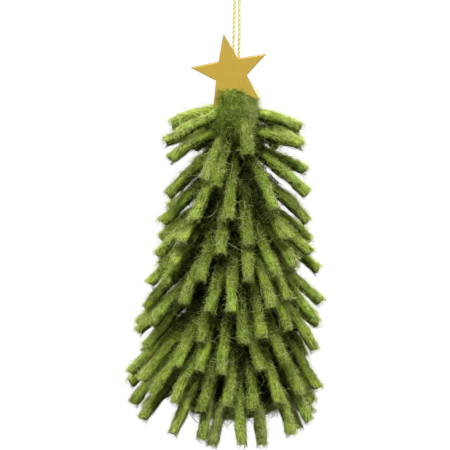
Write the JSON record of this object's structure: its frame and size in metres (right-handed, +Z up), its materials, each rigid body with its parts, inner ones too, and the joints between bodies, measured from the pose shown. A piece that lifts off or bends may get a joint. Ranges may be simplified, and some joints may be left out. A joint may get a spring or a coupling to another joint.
{
  "type": "felt tree ornament",
  "caption": "Hanging tree ornament: cut lengths of green felted wool cord in tiers round a cone, a flat gold star at the tip, and a gold thread loop that it swings and turns on.",
  "frame": {"origin": "underside of the thread loop's bight, where a hook or twig bears, straight above the tip of the tree", "axes": "+Z up along the hanging thread, -Y towards the front of the star, +X to the right of someone facing it"},
  "size_m": [0.0729, 0.0713, 0.1791],
  "materials": {
    "felt_cord": "matte",
    "felt_wrap": "matte",
    "foam": "matte",
    "star_wood": "satin",
    "gold_thread": "satin"
  },
  "bodies": {
    "hanging_loop": {"hanging_cord": "gold_thread"},
    "knot": {"loop_knot": "gold_thread"},
    "tree": {"core_wrap": "felt_wrap", "foam_core": "foam", "base_disc": "felt_wrap", "star": "star_wood", "tier_01_left": "felt_cord", "tier_01_front": "felt_cord", "tier_01_right": "felt_cord", "tier_01_back": "felt_cord", "tier_02_left": "felt_cord", "tier_02_front": "felt_cord", "tier_02_right": "felt_cord", "tier_02_back": "felt_cord", "tier_03_left": "felt_cord", "tier_03_front": "felt_cord", "tier_03_right": "felt_cord", "tier_03_back": "felt_cord", "tier_04_left": "felt_cord", "tier_04_front": "felt_cord", "tier_04_right": "felt_cord", "tier_04_back": "felt_cord", "tier_05_left": "felt_cord", "tier_05_front": "felt_cord", "tier_05_right": "felt_cord", "tier_05_back": "felt_cord", "tier_06_left": "felt_cord", "tier_06_front": "felt_cord", "tier_06_right": "felt_cord", "tier_06_back": "felt_cord", "tier_07_left": "felt_cord", "tier_07_front": "felt_cord", "tier_07_right": "felt_cord", "tier_07_back": "felt_cord", "tier_08_left": "felt_cord", "tier_08_front": "felt_cord", "tier_08_right": "felt_cord", "tier_08_back": "felt_cord", "tier_09_left": "felt_cord", "tier_09_front": "felt_cord", "tier_09_right": "felt_cord", "tier_09_back": "felt_cord", "tier_10_left": "felt_cord", "tier_10_front": "felt_cord", "tier_10_right": "felt_cord", "tier_10_back": "felt_cord", "tier_11_left": "felt_cord", "tier_11_front": "felt_cord", "tier_11_right": "felt_cord", "tier_11_back": "felt_cord"}
  },
  "joints": [
    {"name": "tree_spin", "type": "hinge", "parent": "hanging_loop", "child": "knot", "pos_m": [0, 0, -0.04952], "axis": [0, 0, 1], "range_deg": [-180, 180]},
    {"name": "tree_swing", "type": "hinge", "parent": "knot", "child": "tree", "pos_m": [0, 0, -0.04952], "axis": [0, 1, 0], "range_deg": [-60, 60]}
  ]
}
